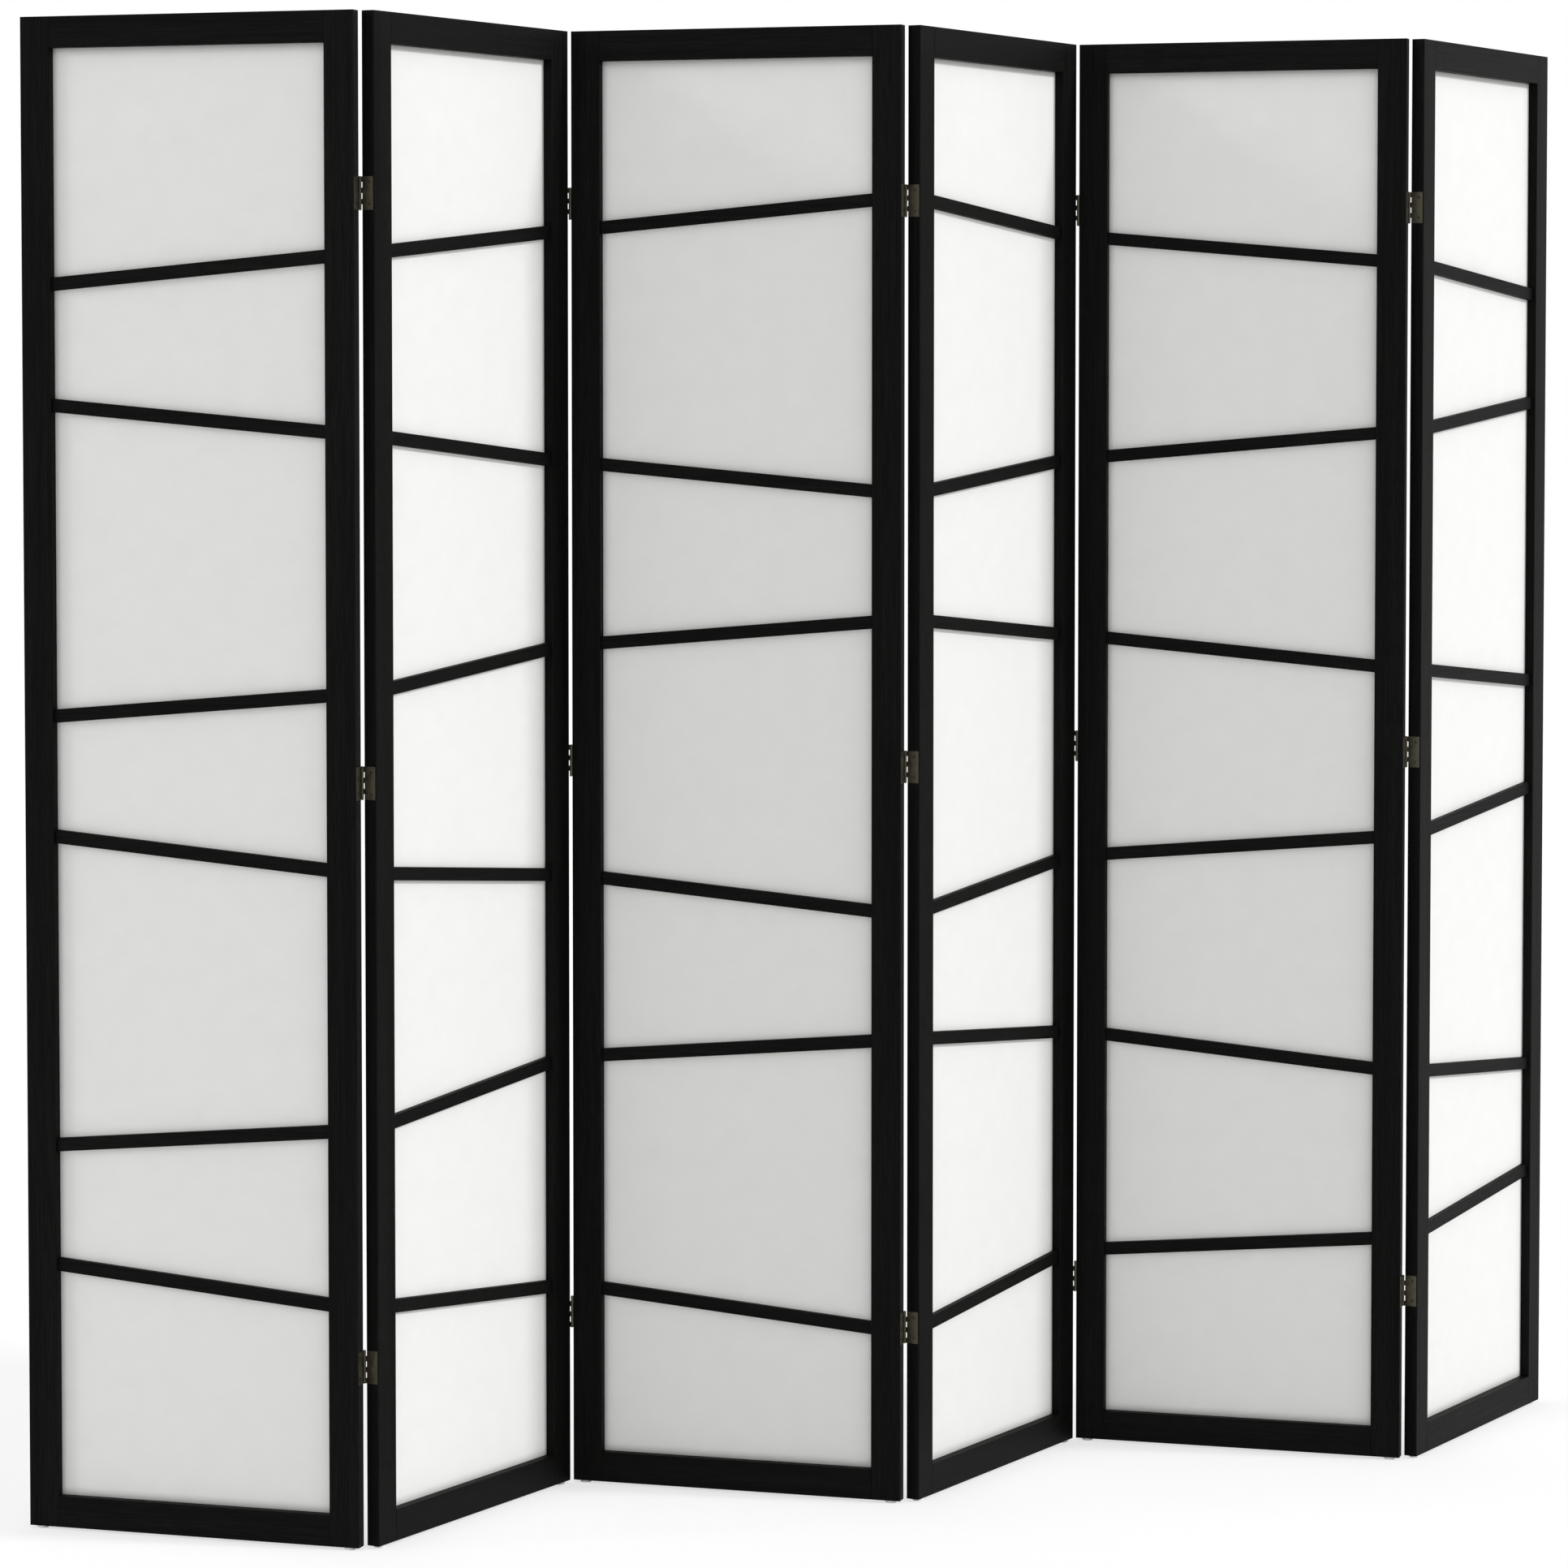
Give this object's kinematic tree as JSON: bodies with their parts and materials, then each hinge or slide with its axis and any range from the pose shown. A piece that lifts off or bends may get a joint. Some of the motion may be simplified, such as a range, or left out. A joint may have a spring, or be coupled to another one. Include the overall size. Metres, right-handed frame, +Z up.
{
  "type": "folding room divider",
  "caption": "Free-standing folding screen of hinged black wooden frames with slanted lattice bars over white translucent paper, standing in a zigzag on small glides.",
  "frame": {"origin": "on the floor under the middle of the zigzag, below the middle fold's side of the screen", "axes": "+X along the zigzag's mean line to the right, +Y from the front to the back, +Z up"},
  "size_m": [1.9486, 0.262, 1.703],
  "materials": {
    "frame": "satin black stain",
    "lattice": "satin black stain",
    "beads": "satin black stain",
    "paper": "matt fibre paper",
    "hinge": "antique bronze",
    "pin": "antique bronze",
    "screw": "antique bronze",
    "glide": "moulded"
  },
  "bodies": {
    "panel_1": {"panel_1_left_stile": "frame", "panel_1_right_stile": "frame", "panel_1_rails": "frame", "panel_1_lattice_bars": "lattice", "panel_1_paper": "paper", "panel_1_back_beads": "beads", "panel_1_glides": "glide", "panel_1_hinge_leaves": "hinge", "panel_1_hinge_screws": "screw"},
    "panel_2": {"panel_2_left_stile": "frame", "panel_2_right_stile": "frame", "panel_2_rails": "frame", "panel_2_lattice_bars": "lattice", "panel_2_paper": "paper", "panel_2_back_beads": "beads", "panel_2_glides": "glide", "panel_2_hinge_leaves": "hinge", "panel_2_hinge_screws": "screw", "fold_1_hinge_pins": "pin"},
    "panel_3": {"panel_3_left_stile": "frame", "panel_3_right_stile": "frame", "panel_3_rails": "frame", "panel_3_lattice_bars": "lattice", "panel_3_paper": "paper", "panel_3_back_beads": "beads", "panel_3_glides": "glide", "panel_3_hinge_leaves": "hinge", "panel_3_hinge_screws": "screw", "fold_2_hinge_pins": "pin", "fold_3_hinge_pins": "pin"},
    "panel_4": {"panel_4_left_stile": "frame", "panel_4_right_stile": "frame", "panel_4_rails": "frame", "panel_4_lattice_bars": "lattice", "panel_4_paper": "paper", "panel_4_back_beads": "beads", "panel_4_glides": "glide", "panel_4_hinge_leaves": "hinge", "panel_4_hinge_screws": "screw", "fold_4_hinge_pins": "pin"},
    "panel_5": {"panel_5_left_stile": "frame", "panel_5_right_stile": "frame", "panel_5_rails": "frame", "panel_5_lattice_bars": "lattice", "panel_5_paper": "paper", "panel_5_back_beads": "beads", "panel_5_glides": "glide", "panel_5_hinge_leaves": "hinge", "panel_5_hinge_screws": "screw", "fold_5_hinge_pins": "pin"},
    "panel_6": {"panel_6_left_stile": "frame", "panel_6_right_stile": "frame", "panel_6_rails": "frame", "panel_6_lattice_bars": "lattice", "panel_6_paper": "paper", "panel_6_back_beads": "beads", "panel_6_glides": "glide", "panel_6_hinge_leaves": "hinge", "panel_6_hinge_screws": "screw"}
  },
  "joints": [
    {"name": "fold_1", "type": "hinge", "parent": "panel_2", "child": "panel_1", "pos_m": [-0.65094, -0.1174, 0], "axis": [0, 0, -1], "range_deg": [-77.5, 102.5]},
    {"name": "fold_2", "type": "hinge", "parent": "panel_3", "child": "panel_2", "pos_m": [-0.32547, 0.1174, 0], "axis": [0, 0, 1], "range_deg": [-77.5, 102.5]},
    {"name": "fold_3", "type": "hinge", "parent": "panel_3", "child": "panel_4", "pos_m": [0, -0.1174, 0], "axis": [0, 0, 1], "range_deg": [-77.5, 102.5]},
    {"name": "fold_4", "type": "hinge", "parent": "panel_4", "child": "panel_5", "pos_m": [0.32547, 0.1174, 0], "axis": [0, 0, -1], "range_deg": [-77.5, 102.5]},
    {"name": "fold_5", "type": "hinge", "parent": "panel_5", "child": "panel_6", "pos_m": [0.65094, -0.1174, 0], "axis": [0, 0, 1], "range_deg": [-77.5, 102.5]}
  ]
}
